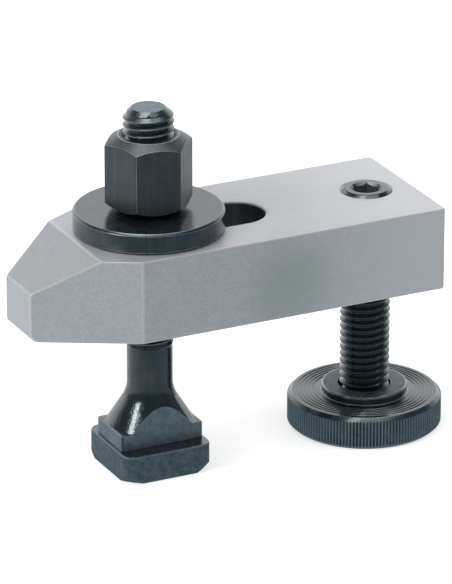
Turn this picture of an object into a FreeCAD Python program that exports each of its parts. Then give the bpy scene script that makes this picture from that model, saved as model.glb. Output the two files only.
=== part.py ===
import FreeCAD, Part
import math
import os

# Strap clamp for machine tables: a tapered bar with a long slot, held down by
# a T-slot bolt with a domed nut on a thick washer, and propped at its rear end
# by a screw that turns in a knurled foot. Millimetres, +Z up, +X towards the
# rear of the bar. The origin is on the bolt's axis, on the plane that the
# bolt's head and the foot both stand on. Threads are plain cylinders over
# their crests.

# Coarse thread of the bolt and of the support screw
THREAD_DIAMETER = 11.8
THREAD_CLEARANCE = 0.05      # radial, between a screw and its nut or tapped hole

# Clamp bar, measured from its nose
BAR_LENGTH = 100.0
BAR_WIDTH = 38.0
BAR_THICKNESS = 20.0
BAR_UNDERSIDE = 38.5         # above the standing plane
NOSE_WIDTH = 13.5
NOSE_THICKNESS = 11.7
NOSE_ROUNDING = 1.8          # along the underside of the nose
RAMP_ROUNDING = 0.8          # where the ramp meets the nose
TAPER_ANGLE = 28.5           # of each flank of the nose, seen from above
RAMP_ANGLE = 30.0            # of the slope on top of the nose
BAR_EDGE_BREAK = 0.4
SLOT_WIDTH = 14.0
SLOT_LENGTH = 39.0           # end to end
SLOT_START = 23.0            # from the nose
SLOT_EDGE_BREAK = 0.5
SCREW_FROM_NOSE = 89.0
TAPPED_HOLE_BREAK = 0.35

# T-slot bolt
BOLT_FROM_NOSE = 33.0
BOLT_LENGTH = 88.0
BOLT_THREAD_LENGTH = 57.0
BOLT_END_DIAMETER = 7.8      # flat at the end of the lead-in
BOLT_LEAD_IN = 1.7
SHANK_DIAMETER = 10.7
THREAD_RUNOUT = 0.7
HEAD_SIDE = 22.0
HEAD_THICKNESS = 7.0
HEAD_CORNER_RADIUS = 2.7
HEAD_LOWER_BREAK = 0.6
HEAD_CHAMFER_DIAMETER = 25.6  # of the turned chamfer that cuts the head's lower corners
HEAD_CHAMFER_ANGLE = 50.0
HEAD_UPPER_BREAK = 0.3
NECK_LENGTH = 20.8           # along the T-slot
NECK_WIDTH = 13.7            # across it, for a 14 mm slot
NECK_THICKNESS = 4.0
NECK_CORNER_RADIUS = 0.8
FLARE_DIAMETER = 20.4        # of the shank's cone where it meets the neck
FLARE_HEIGHT = 7.8
FLARE_BLEND_RADIUS = 3.0

# Washer and nut
WASHER_DIAMETER = 35.0
WASHER_BORE = 13.0
WASHER_THICKNESS = 5.0
WASHER_EDGE_BREAK = 0.5
WASHER_GAP = 0.02            # over the bar, which slides under it
NUT_ACROSS_FLATS = 18.0
NUT_HEIGHT = 18.0
NUT_DOME_RADIUS = 17.0
NUT_MOUTH_DIAMETER = 12.8
NUT_CROWN_DIAMETER = 14.0    # flat ring left by the chamfer on top
NUT_CHAMFER_ANGLE = 30.0
NUT_CORNER_DIRECTION = -10.4  # degrees from +X
DOME_GAP = 0.02              # over the edge of the washer's bore

# Support screw
SCREW_ABOVE_TOP = 0.5        # its end face, over the top of the bar
SCREW_UPPER_BREAK = 0.8
SCREW_LOWER_BREAK = 1.0
SOCKET_ACROSS_FLATS = 6.0
SOCKET_DEPTH = 6.0
SOCKET_MOUTH_DIAMETER = 7.3
DRILL_POINT_ANGLE = 59.0     # half angle
PIVOT_DIAMETER = 8.0         # plain end that turns in the foot
PIVOT_TIP_BREAK = 1.2
PIVOT_NECK_DIAMETER = 5.8    # groove that the snap ring can close into
PIVOT_CLEARANCE = 0.15       # radial, in the foot
PIVOT_END_GAP = 0.05         # under the tip

# Foot and its snap ring
FOOT_DIAMETER = 36.4
FOOT_THICKNESS = 8.0
FOOT_BEVEL = 1.0             # below and above the knurl
FOOT_FLOOR = 2.4             # under the pivot
COLLAR_DIAMETER = 20.4
COLLAR_HEIGHT = 2.0
COLLAR_BREAK = 0.5
FOOT_MOUTH_DIAMETER = 12.5   # round the end of the thread
FOOT_MOUTH_DEPTH = 3.6       # below the top of the collar
MOUTH_FLOOR_GAP = 0.4        # under the end of the thread
KNURL_PITCH = 0.8
KNURL_DEPTH = 0.3
KNURL_LEDGE = 0.1            # from the bottom of its grooves in to the bevels
GROOVE_COUNT = 3
GROOVE_SPACING = 1.9
GROOVE_OUTER_RADIUS = 16.0
GROOVE_WIDTH = 0.45
GROOVE_DEPTH = 0.22
RING_WIRE = 1.1              # side of its square wire
RING_MIDDLE = 4.4            # height of its wire's middle
RING_OPENING = 60.0          # degrees left open, so that it can spring in
RING_PLAY = 0.2              # each side of the wire, along the pivot's neck

# Places that follow from the sizes above
BAR_TOP = BAR_UNDERSIDE + BAR_THICKNESS
NOSE_X = -BOLT_FROM_NOSE
REAR_X = NOSE_X + BAR_LENGTH
SCREW_X = NOSE_X + SCREW_FROM_NOSE
THREAD_RADIUS = THREAD_DIAMETER / 2
TAPPED_RADIUS = THREAD_RADIUS + THREAD_CLEARANCE
NECK_TOP = HEAD_THICKNESS + NECK_THICKNESS
WASHER_BASE = BAR_TOP + WASHER_GAP
WASHER_TOP = WASHER_BASE + WASHER_THICKNESS
PIVOT_RADIUS = PIVOT_DIAMETER / 2
PIVOT_BORE_RADIUS = PIVOT_RADIUS + PIVOT_CLEARANCE
COLLAR_TOP = FOOT_THICKNESS + COLLAR_HEIGHT
MOUTH_FLOOR = COLLAR_TOP - FOOT_MOUTH_DEPTH
PAST = 1.0                   # how far a cutting shape passes the face that it cuts


def vec(x, y, z):
    """Shorthand for a vector."""
    return FreeCAD.Vector(x, y, z)


def turned(profile):
    """Solid of revolution about the Z axis. A profile point is (radius, height), or
    (radius, height, radius, height) for an arc through the first pair to the second."""
    edges = []
    here = vec(profile[0][0], 0, profile[0][1])
    for point in profile[1:] + profile[:1]:
        target = vec(point[-2], 0, point[-1])
        if len(point) == 4:
            edges.append(Part.Arc(here, vec(point[0], 0, point[1]), target).toShape())
        else:
            edges.append(Part.LineSegment(here, target).toShape())
        here = target
    return Part.Face(Part.Wire(edges)).revolve(vec(0, 0, 0), vec(0, 0, 1), 360)


def prism(corners, low, high):
    """Upright prism between two heights over a plan polygon of (x, y) corners."""
    ring = [vec(x, y, low) for x, y in corners]
    return Part.Face(Part.makePolygon(ring + ring[:1])).extrude(vec(0, 0, high - low))


def hexagon(across_flats, corner_direction=0.0):
    """Corners of a regular hexagon about the Z axis, one of them in a given direction."""
    radius = across_flats / 2 / math.cos(math.radians(30))
    directions = [math.radians(corner_direction + 60 * i) for i in range(6)]
    return [(radius * math.cos(a), radius * math.sin(a)) for a in directions]


def rounded_block(length, width, low, high, corner_radius):
    """Block centred on the Z axis, its four upright edges rounded."""
    block = Part.makeBox(length, width, high - low, vec(-length / 2, -width / 2, low))
    upright = [e for e in block.Edges if e.BoundBox.ZLength > (high - low) / 2]
    return block.makeFillet(corner_radius, upright)


def level_edges(solid, height):
    """Edges of a solid that lie in the level plane at a height."""
    return [
        e for e in solid.Edges
        if e.BoundBox.ZLength < 1e-6 and abs(e.BoundBox.ZMin - height) < 1e-6
    ]


def slot_cutter():
    """Upright cutter of the through slot, round at both ends."""
    radius = SLOT_WIDTH / 2
    first = NOSE_X + SLOT_START + radius
    last = NOSE_X + SLOT_START + SLOT_LENGTH - radius
    low, high = BAR_UNDERSIDE - PAST, BAR_TOP + PAST
    plan = Part.Wire([
        Part.Arc(vec(first, -radius, low), vec(first - radius, 0, low),
                 vec(first, radius, low)).toShape(),
        Part.LineSegment(vec(first, radius, low), vec(last, radius, low)).toShape(),
        Part.Arc(vec(last, radius, low), vec(last + radius, 0, low),
                 vec(last, -radius, low)).toShape(),
        Part.LineSegment(vec(last, -radius, low), vec(first, -radius, low)).toShape(),
    ])
    return Part.Face(plan).extrude(vec(0, 0, high - low))


def make_clamp_bar():
    """Flat bar with a tapered nose, a ramp on top of the nose, the slot and the tapped hole."""
    half_width, half_nose = BAR_WIDTH / 2, NOSE_WIDTH / 2
    taper_end = NOSE_X + (half_width - half_nose) / math.tan(math.radians(TAPER_ANGLE))
    ramp_end = NOSE_X + (BAR_THICKNESS - NOSE_THICKNESS) / math.tan(math.radians(RAMP_ANGLE))
    bar = prism([
        (NOSE_X, -half_nose), (taper_end, -half_width), (REAR_X, -half_width),
        (REAR_X, half_width), (taper_end, half_width), (NOSE_X, half_nose),
    ], BAR_UNDERSIDE, BAR_TOP)

    rise = PAST * math.tan(math.radians(RAMP_ANGLE))
    above_ramp = Part.Face(Part.makePolygon([
        vec(NOSE_X - PAST, -BAR_WIDTH, BAR_UNDERSIDE + NOSE_THICKNESS - rise),
        vec(ramp_end + PAST, -BAR_WIDTH, BAR_TOP + rise),
        vec(NOSE_X - PAST, -BAR_WIDTH, BAR_TOP + rise),
        vec(NOSE_X - PAST, -BAR_WIDTH, BAR_UNDERSIDE + NOSE_THICKNESS - rise),
    ])).extrude(vec(0, 2 * BAR_WIDTH, 0))
    bar = bar.cut(above_ramp)

    nose_edges = [
        e for e in bar.Edges
        if e.BoundBox.XMax < NOSE_X + 1e-6 and e.BoundBox.ZLength < 1e-6
    ]
    by_height = sorted(nose_edges, key=lambda e: e.BoundBox.ZMin)
    bar = bar.makeFillet(NOSE_ROUNDING, by_height[:1])
    ramp_foot = [
        e for e in bar.Edges
        if e.BoundBox.XMax < NOSE_X + 1e-6 and e.BoundBox.ZLength < 1e-6
        and e.BoundBox.ZMin > BAR_UNDERSIDE + NOSE_THICKNESS / 2
    ]
    bar = bar.makeFillet(RAMP_ROUNDING, ramp_foot)

    outer = [
        e for e in level_edges(bar, BAR_TOP) + level_edges(bar, BAR_UNDERSIDE)
        if e.BoundBox.XMax > ramp_end + 1e-6
    ]
    rear = [e for e in bar.Edges if e.BoundBox.XMin > REAR_X - 1e-6 and e.BoundBox.ZLength > 1]
    bar = bar.makeChamfer(BAR_EDGE_BREAK, outer + rear)

    bar = bar.cut(slot_cutter())
    slot_rim = [
        e for e in level_edges(bar, BAR_TOP) + level_edges(bar, BAR_UNDERSIDE)
        if abs(e.BoundBox.YMax) < SLOT_WIDTH / 2 + 1e-6
        and abs(e.BoundBox.YMin) < SLOT_WIDTH / 2 + 1e-6
        and e.BoundBox.XMin > NOSE_X + SLOT_START - 1e-6
        and e.BoundBox.XMax < NOSE_X + SLOT_START + SLOT_LENGTH + 1e-6
    ]
    bar = bar.makeChamfer(SLOT_EDGE_BREAK, slot_rim)

    mouth_radius = TAPPED_RADIUS + TAPPED_HOLE_BREAK
    hole = turned([
        (0, BAR_UNDERSIDE - PAST), (mouth_radius + PAST, BAR_UNDERSIDE - PAST),
        (TAPPED_RADIUS, BAR_UNDERSIDE + TAPPED_HOLE_BREAK),
        (TAPPED_RADIUS, BAR_TOP - TAPPED_HOLE_BREAK),
        (mouth_radius + PAST, BAR_TOP + PAST), (0, BAR_TOP + PAST),
    ])
    hole.translate(vec(SCREW_X, 0, 0))
    return bar.cut(hole)


def make_bolt():
    """Forged T-slot bolt: square head, neck for the slot, flared shank and threaded end."""
    head = rounded_block(HEAD_SIDE, HEAD_SIDE, 0, HEAD_THICKNESS, HEAD_CORNER_RADIUS)
    head = head.makeChamfer(HEAD_LOWER_BREAK, level_edges(head, 0))
    head = head.makeChamfer(HEAD_UPPER_BREAK, level_edges(head, HEAD_THICKNESS))
    chamfer_low = HEAD_CHAMFER_DIAMETER / 2
    chamfer_high = chamfer_low + HEAD_THICKNESS / math.tan(math.radians(HEAD_CHAMFER_ANGLE))
    head = head.common(turned([
        (0, 0), (chamfer_low, 0), (chamfer_high, HEAD_THICKNESS), (0, HEAD_THICKNESS),
    ]))
    neck = rounded_block(NECK_LENGTH, NECK_WIDTH, HEAD_THICKNESS, NECK_TOP, NECK_CORNER_RADIUS)

    # The flare's cone runs into the shank through an arc that is tangent to both
    shank_radius, flare_radius = SHANK_DIAMETER / 2, FLARE_DIAMETER / 2
    flare_top = NECK_TOP + FLARE_HEIGHT
    slope = math.atan2(flare_radius - shank_radius, FLARE_HEIGHT)
    setback = FLARE_BLEND_RADIUS * math.tan(slope / 2)
    blend_middle = (
        shank_radius + FLARE_BLEND_RADIUS * (1 - math.cos(slope / 2)),
        flare_top + setback - FLARE_BLEND_RADIUS * math.sin(slope / 2),
    )
    blend_low = (
        shank_radius + setback * math.sin(slope),
        flare_top - setback * math.cos(slope),
    )
    thread_start = BOLT_LENGTH - BOLT_THREAD_LENGTH
    stem = turned([
        (0, HEAD_THICKNESS), (flare_radius, HEAD_THICKNESS), (flare_radius, NECK_TOP),
        blend_low, blend_middle + (shank_radius, flare_top + setback),
        (shank_radius, thread_start - THREAD_RUNOUT), (THREAD_RADIUS, thread_start),
        (THREAD_RADIUS, BOLT_LENGTH - BOLT_LEAD_IN),
        (BOLT_END_DIAMETER / 2, BOLT_LENGTH), (0, BOLT_LENGTH),
    ])
    slot_sides = rounded_block(
        NECK_LENGTH, NECK_WIDTH, HEAD_THICKNESS, BOLT_LENGTH + PAST, NECK_CORNER_RADIUS
    )
    return head.fuse([neck, stem.common(slot_sides)]).removeSplitter()


def make_washer():
    """Thick flat washer, the edges of its rim broken."""
    inner, outer, edge = WASHER_BORE / 2, WASHER_DIAMETER / 2, WASHER_EDGE_BREAK
    return turned([
        (inner, WASHER_BASE), (outer - edge, WASHER_BASE), (outer, WASHER_BASE + edge),
        (outer, WASHER_TOP - edge), (outer - edge, WASHER_TOP), (inner, WASHER_TOP),
    ])


def make_nut():
    """High hexagon nut, chamfered on top, with a domed underside that sits on the washer's bore."""
    bore, mouth = TAPPED_RADIUS, NUT_MOUTH_DIAMETER / 2
    crown = NUT_CROWN_DIAMETER / 2
    envelope = NUT_ACROSS_FLATS / 2 / math.cos(math.radians(30)) + PAST
    seat_rise = math.sqrt(NUT_DOME_RADIUS ** 2 - (WASHER_BORE / 2) ** 2)
    dome_centre = WASHER_TOP + DOME_GAP + seat_rise

    def dome(radius):
        return dome_centre - math.sqrt(NUT_DOME_RADIUS ** 2 - radius ** 2)

    top = dome(mouth) + NUT_HEIGHT
    halfway = (mouth + envelope) / 2
    chamfer_drop = (envelope - crown) * math.tan(math.radians(NUT_CHAMFER_ANGLE))
    body = turned([
        (bore, dome(mouth) + mouth - bore), (mouth, dome(mouth)),
        (halfway, dome(halfway), envelope, dome(envelope)),
        (envelope, top - chamfer_drop), (crown, top), (mouth, top), (bore, top - mouth + bore),
    ])
    flats = prism(
        hexagon(NUT_ACROSS_FLATS, NUT_CORNER_DIRECTION), WASHER_BASE, top + PAST
    )
    return body.common(flats)


def make_support_screw():
    """Fully threaded screw with a hexagon socket above and a grooved pivot in the foot."""
    top = BAR_TOP + SCREW_ABOVE_TOP
    tip = FOOT_FLOOR + PIVOT_END_GAP
    thread_end = MOUTH_FLOOR + MOUTH_FLOOR_GAP
    neck = PIVOT_NECK_DIAMETER / 2
    half_groove = RING_WIRE / 2 + RING_PLAY
    body = turned([
        (0, tip), (PIVOT_RADIUS - PIVOT_TIP_BREAK, tip), (PIVOT_RADIUS, tip + PIVOT_TIP_BREAK / 2),
        (PIVOT_RADIUS, RING_MIDDLE - half_groove), (neck, RING_MIDDLE - half_groove),
        (neck, RING_MIDDLE + half_groove), (PIVOT_RADIUS, RING_MIDDLE + half_groove),
        (PIVOT_RADIUS, thread_end), (THREAD_RADIUS - SCREW_LOWER_BREAK, thread_end),
        (THREAD_RADIUS, thread_end + SCREW_LOWER_BREAK),
        (THREAD_RADIUS, top - SCREW_UPPER_BREAK), (THREAD_RADIUS - SCREW_UPPER_BREAK, top), (0, top),
    ])
    floor = top - SOCKET_DEPTH
    socket = prism(hexagon(SOCKET_ACROSS_FLATS), floor, top + PAST)
    drill = SOCKET_ACROSS_FLATS / 2
    drilled = turned([
        (0, floor - drill / math.tan(math.radians(DRILL_POINT_ANGLE))), (drill, floor),
        (drill, floor + drill), (0, floor + drill),
    ])
    mouth = SOCKET_MOUTH_DIAMETER / 2
    mouth_cone = turned([(0, top - mouth), (mouth + PAST, top + PAST), (0, top + PAST)])
    screw = body.cut([socket, drilled, mouth_cone])
    screw.translate(vec(SCREW_X, 0, 0))
    return screw


def make_foot():
    """Foot with a knurled rim, turned grooves on top, a collar and the stepped bore for the screw."""
    rim = FOOT_DIAMETER / 2
    knurl_root = rim - KNURL_DEPTH
    bevel_edge = knurl_root - KNURL_LEDGE
    knurl_low, knurl_high = FOOT_BEVEL, FOOT_THICKNESS - FOOT_BEVEL
    teeth = round(math.pi * FOOT_DIAMETER / KNURL_PITCH)
    star = []
    for step in range(2 * teeth):
        radius = knurl_root if step % 2 else rim
        angle = math.pi * step / teeth
        star.append((radius * math.cos(angle), radius * math.sin(angle)))
    band = prism(star, knurl_low, knurl_high)

    base = turned([
        (0, 0), (bevel_edge - FOOT_BEVEL, 0), (bevel_edge, knurl_low), (0, knurl_low),
    ])

    collar = COLLAR_DIAMETER / 2
    top_profile = [(0, knurl_high), (bevel_edge, knurl_high),
                   (bevel_edge - FOOT_BEVEL, FOOT_THICKNESS)]
    for groove in range(GROOVE_COUNT):
        middle = GROOVE_OUTER_RADIUS - groove * GROOVE_SPACING
        top_profile += [(middle + GROOVE_WIDTH / 2, FOOT_THICKNESS),
                        (middle, FOOT_THICKNESS - GROOVE_DEPTH),
                        (middle - GROOVE_WIDTH / 2, FOOT_THICKNESS)]
    top_profile += [(collar, FOOT_THICKNESS), (collar, COLLAR_TOP - COLLAR_BREAK),
                    (collar - COLLAR_BREAK, COLLAR_TOP), (0, COLLAR_TOP)]

    mouth = FOOT_MOUTH_DIAMETER / 2
    ring_seat = PIVOT_BORE_RADIUS + RING_WIRE / 2
    ring_low, ring_high = RING_MIDDLE - RING_WIRE / 2, RING_MIDDLE + RING_WIRE / 2
    bore = turned([
        (0, FOOT_FLOOR), (PIVOT_BORE_RADIUS, FOOT_FLOOR), (PIVOT_BORE_RADIUS, ring_low),
        (ring_seat, ring_low), (ring_seat, ring_high), (PIVOT_BORE_RADIUS, ring_high),
        (PIVOT_BORE_RADIUS, MOUTH_FLOOR), (mouth, MOUTH_FLOOR), (mouth, COLLAR_TOP + PAST),
        (0, COLLAR_TOP + PAST),
    ])
    foot = band.fuse([base, turned(top_profile)]).removeSplitter().cut(bore)
    foot.translate(vec(SCREW_X, 0, 0))
    return foot


def make_snap_ring():
    """Open ring of square wire, half in the foot's groove and half in the pivot's neck."""
    inner, outer = PIVOT_BORE_RADIUS - RING_WIRE / 2, PIVOT_BORE_RADIUS + RING_WIRE / 2
    low, high = RING_MIDDLE - RING_WIRE / 2, RING_MIDDLE + RING_WIRE / 2
    corners = [vec(inner, 0, low), vec(outer, 0, low), vec(outer, 0, high), vec(inner, 0, high)]
    section = Part.Face(Part.makePolygon(corners + corners[:1]))
    ring = section.revolve(vec(0, 0, 0), vec(0, 0, 1), 360 - RING_OPENING)
    ring.translate(vec(SCREW_X, 0, 0))
    return ring


PIECES = {
    "clamp_bar": make_clamp_bar,
    "t_slot_bolt": make_bolt,
    "washer": make_washer,
    "domed_nut": make_nut,
    "support_screw": make_support_screw,
    "support_foot": make_foot,
    "snap_ring": make_snap_ring,
}

os.makedirs("parts", exist_ok=True)
for node, make in PIECES.items():
    shape = make()
    assert shape.isValid() and len(shape.Solids) == 1, node
    shape.exportStep("parts/" + node + ".step")
    box = shape.BoundBox
    print("%-14s volume %9.1f  x %.2f..%.2f  y %.2f..%.2f  z %.2f..%.2f  faces %d" % (
        node, shape.Volume, box.XMin, box.XMax, box.YMin, box.YMax, box.ZMin, box.ZMax,
        len(shape.Faces)))
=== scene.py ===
"""Looks of a strap clamp for machine tables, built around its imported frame.

Everything is in metres and in the frame's own axes: +Z is up along the bolt, +X runs along
the bar towards its rear end, and the origin lies under the bolt's head. The threads, the
knurl and the rounded edges are real geometry. The black pieces are steel with a glossy
black oxide, and the bar is pale satin steel.
"""

import logging
import math
from collections.abc import Callable, Iterable, Mapping, Sequence
from dataclasses import dataclass, field
from enum import Enum
from typing import Protocol

import bmesh
import bpy
from mathutils import Matrix, Vector

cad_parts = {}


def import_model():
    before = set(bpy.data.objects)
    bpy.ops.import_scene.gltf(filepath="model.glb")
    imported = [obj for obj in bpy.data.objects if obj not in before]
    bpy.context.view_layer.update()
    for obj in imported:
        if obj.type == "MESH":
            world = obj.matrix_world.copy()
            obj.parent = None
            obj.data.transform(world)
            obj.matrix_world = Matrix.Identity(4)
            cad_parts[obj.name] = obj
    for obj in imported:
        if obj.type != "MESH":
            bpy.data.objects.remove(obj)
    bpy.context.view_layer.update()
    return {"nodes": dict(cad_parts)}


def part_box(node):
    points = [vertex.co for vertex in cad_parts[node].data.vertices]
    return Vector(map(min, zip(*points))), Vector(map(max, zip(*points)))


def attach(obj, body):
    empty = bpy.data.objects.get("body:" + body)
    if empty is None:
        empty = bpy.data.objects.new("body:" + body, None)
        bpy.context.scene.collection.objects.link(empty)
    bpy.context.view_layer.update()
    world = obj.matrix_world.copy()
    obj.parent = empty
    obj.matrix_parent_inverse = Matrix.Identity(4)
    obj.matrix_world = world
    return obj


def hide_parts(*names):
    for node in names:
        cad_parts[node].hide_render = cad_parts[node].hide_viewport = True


MM = 0.001
HAIR = 0.01 * MM
TOUCH = 0.001 * MM
SEAM = TOUCH / 2
ON_PLANE = 1e-7
OVERLAP = 1.0 * MM
SECTORS = 8
ROUND_SIDES = 96
CORNER_STEPS = 4
UPRIGHT = 0.999
SHARP_ANGLE = math.radians(20)
CREASE_ANGLE = math.radians(32)
# Mark of faces painted lighter: partly scuffed bright steel, partly a painted highlight on edges
# and crests.
WEAR_AND_HIGHLIGHT = "wear_and_highlight"
MATT = "matt"
WORN_AND_HIGHLIGHT_ROUNDINGS = (0.09 * MM, 0.6 * MM)
WORN_AND_HIGHLIGHT_BREAK = 0.5 * MM
LOG = logging.getLogger("strap_clamp")

Shape = bmesh.types.BMesh
Vert = bmesh.types.BMVert
Edge = bmesh.types.BMEdge
Face = bmesh.types.BMFace
Colour = tuple[float, float, float]


# Workshop: closed shapes made with mesh operators


class Cut(Enum):
    """How one closed shape changes another."""

    AWAY = "DIFFERENCE"
    SHARED = "INTERSECT"
    JOINED = "UNION"


class Finish(Protocol):
    """What a piece is made of and how it is finished."""

    def material(self) -> bpy.types.Material:
        """Makes the finish."""


def reach(point: Vector, centre: Vector) -> float:
    """Gives how far a point lies from an upright axis."""
    return math.hypot(point.x - centre.x, point.y - centre.y)


def draw_to(vert: Vert, centre: Vector, radius: float) -> None:
    """Moves a vertex straight out or in to a radius about an upright axis."""
    scale = radius / reach(vert.co, centre)
    vert.co.x = centre.x + (vert.co.x - centre.x) * scale
    vert.co.y = centre.y + (vert.co.y - centre.y) * scale


@dataclass(frozen=True)
class Corner:
    """A corner of an outline that is turned on the lathe."""

    radius: float
    height: float
    rounding: float = 0.0

    def is_near(self, point: Vector, centre: Vector) -> bool:
        """Tells whether a point of the turned shape lies on the corner's rounding."""
        out = abs(reach(point, centre) - self.radius)
        return max(out, abs(point.z - self.height)) < self.rounding


def placed(name: str, data: bpy.types.ID) -> bpy.types.Object:
    """Puts a mesh, a lamp or a camera into the scene as an object."""
    made = bpy.data.objects.new(name, data)
    bpy.context.scene.collection.objects.link(made)
    return made


def mesh_of(shape: Shape, name: str) -> bpy.types.Mesh:
    """Writes a shape to a mesh and frees the shape, which can't be used afterwards."""
    mesh = bpy.data.meshes.new(name)
    shape.to_mesh(mesh)
    shape.free()
    return mesh


def combined(base: Shape, tool: Shape, cut: Cut) -> Shape:
    """Cuts one closed shape from another, crosses them or joins them, and uses both up."""
    work = placed("work", mesh_of(base, "work"))
    cutter = placed("cutter", mesh_of(tool, "cutter"))
    step = work.modifiers.new("cut", "BOOLEAN")
    step.object = cutter
    step.operation = cut.value
    step.solver = "MANIFOLD"
    graph = bpy.context.evaluated_depsgraph_get()
    result = bpy.data.meshes.new_from_object(work.evaluated_get(graph))
    shape = bmesh.new()
    shape.from_mesh(result)
    bpy.data.meshes.remove(result)
    for part in (work, cutter):
        bpy.data.meshes.remove(part.data)
    bmesh.ops.remove_doubles(shape, verts=shape.verts, dist=TOUCH)
    bmesh.ops.dissolve_degenerate(shape, edges=shape.edges, dist=SEAM)
    return shape


def marked(shape: Shape, chosen: Callable[[Face], bool], mark: str = WEAR_AND_HIGHLIGHT) -> None:
    """Marks the faces that a test picks, as scuffed bright with a painted highlight, or with
    another mark.
    """
    layer = shape.faces.layers.float.get(mark) or shape.faces.layers.float.new(mark)
    for face in shape.faces:
        if chosen(face):
            face[layer] = 1.0


def repeated(shape: Shape, count: int, move: Callable[[list, int], None]) -> None:
    """Copies a stretch of a surface, moves each copy on and merges the seams.

    Args:
        shape: The shape, which holds the first stretch alone.
        count: How many stretches there are in all.
        move: Moves the vertices of a copy to its place, which it gets as a number from 1.
    """
    first = shape.verts[:] + shape.edges[:] + shape.faces[:]
    for place in range(1, count):
        copy = bmesh.ops.duplicate(shape, geom=first)
        move([item for item in copy["geom"] if isinstance(item, Vert)], place)
    bmesh.ops.remove_doubles(shape, verts=shape.verts, dist=SEAM)


def turned(
    outline: Iterable[Sequence[float]], centre: Vector, sides: int, closed: bool = False
) -> Shape:
    """Turns an outline about an upright axis.

    Args:
        outline: Each corner's radius, height and, where it isn't sharp, rounding.
        centre: A point on the axis.
        sides: How many flat sides stand for the round, a multiple of SECTORS.
        closed: True for a ring, whose last corner joins its first.

    Returns:
        The turned shape, facing outwards.
    """
    corners = [Corner(*values) for values in outline]
    shape = bmesh.new()
    verts = [shape.verts.new((centre.x + c.radius, centre.y, c.height)) for c in corners]
    followers = verts[1:] + verts[:1] if closed else verts[1:]
    for start, end in zip(verts, followers):
        shape.edges.new((start, end))
    for corner, vert in zip(corners, verts):
        if corner.rounding:
            bmesh.ops.bevel(
                shape, geom=[vert], affect="VERTICES", offset=corner.rounding,
                offset_type="OFFSET", segments=CORNER_STEPS, profile=0.5, material=-1,
            )
    sector = 2 * math.pi / SECTORS
    bmesh.ops.spin(
        shape, geom=shape.verts[:] + shape.edges[:], cent=centre, axis=(0, 0, 1),
        angle=sector, steps=sides // SECTORS,
    )
    # Small roundings carry the mark: scuffed bright steel and a painted highlight along the edge.
    least, most = WORN_AND_HIGHLIGHT_ROUNDINGS
    rounded = [corner for corner in corners if least < corner.rounding < most]
    marked(shape, lambda face: any(
        corner.is_near(face.calc_center_median(), centre) for corner in rounded
    ))

    def turn(verts: list[Vert], place: int) -> None:
        bmesh.ops.rotate(
            shape, verts=verts, cent=centre, matrix=Matrix.Rotation(sector * place, 3, "Z"),
        )

    repeated(shape, SECTORS, turn)
    bmesh.ops.recalc_face_normals(shape, faces=shape.faces)
    return shape


def block(low: Vector, high: Vector) -> Shape:
    """Makes a plain block between two corners."""
    shape = bmesh.new()
    size = high - low
    place = Matrix.Translation((low + high) / 2) @ Matrix.Diagonal((*size, 1))
    bmesh.ops.create_cube(shape, size=1, matrix=place)
    return shape


def hexagon_bar(across_flats: float, corner_direction: float, low: Vector, high: float) -> Shape:
    """Makes an upright hexagonal bar.

    Args:
        across_flats: Its width between two opposite flats.
        corner_direction: The direction of one of its corners from +X, in degrees.
        low: The middle of its lower end.
        high: The height of its upper end.

    Returns:
        The closed bar.
    """
    shape = bmesh.new()
    turn = Matrix.Rotation(math.radians(corner_direction - 90), 4, "Z")
    bmesh.ops.create_cone(
        shape, cap_ends=True, segments=6, radius1=across_flats / math.sqrt(3),
        radius2=across_flats / math.sqrt(3), depth=high - low.z,
        matrix=Matrix.Translation((low.x, low.y, (low.z + high) / 2)) @ turn,
    )
    return shape


def sliced(shape: Shape, point: Vector, outward: Vector) -> None:
    """Cuts off what lies beyond a plane and closes the cut face."""
    geometry = shape.verts[:] + shape.edges[:] + shape.faces[:]
    cut = bmesh.ops.bisect_plane(
        shape, geom=geometry, dist=ON_PLANE, plane_co=point, plane_no=outward, clear_outer=True,
    )
    rim = [item for item in cut["geom_cut"] if isinstance(item, Edge)]
    bmesh.ops.edgeloop_fill(shape, edges=rim)


def softened(shape: Shape, width: float, segments: int, chosen: Callable[[Edge], bool]) -> None:
    """Rounds or breaks the sharp edges that a test picks.

    Args:
        shape: The shape that is changed.
        width: The width of the break, along each of its two faces.
        segments: 1 for a chamfer, more for a rounding.
        chosen: The test of an edge.
    """
    if WEAR_AND_HIGHLIGHT not in shape.faces.layers.float:
        shape.faces.layers.float.new(WEAR_AND_HIGHLIGHT)
    sharp = [
        e for e in shape.edges
        if len(e.link_faces) == 2 and e.calc_face_angle(0.0) > SHARP_ANGLE and chosen(e)
    ]
    made = bmesh.ops.bevel(
        shape, geom=sharp, affect="EDGES", offset=width, offset_type="OFFSET",
        segments=segments, profile=0.5, material=-1, clamp_overlap=True, loop_slide=True,
    )
    # Narrow breaks carry the mark: scuffed bright steel and a painted highlight line along the
    # edge.
    if width < WORN_AND_HIGHLIGHT_BREAK:
        bevels = set(made["faces"])
        marked(shape, lambda face: face in bevels)


def middle(edge: Edge) -> Vector:
    """Gives the middle of an edge."""
    return (edge.verts[0].co + edge.verts[1].co) / 2


def is_upright(edge: Edge) -> bool:
    """Tells whether an edge stands upright."""
    return abs((edge.verts[0].co - edge.verts[1].co).normalized().z) > UPRIGHT


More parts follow.
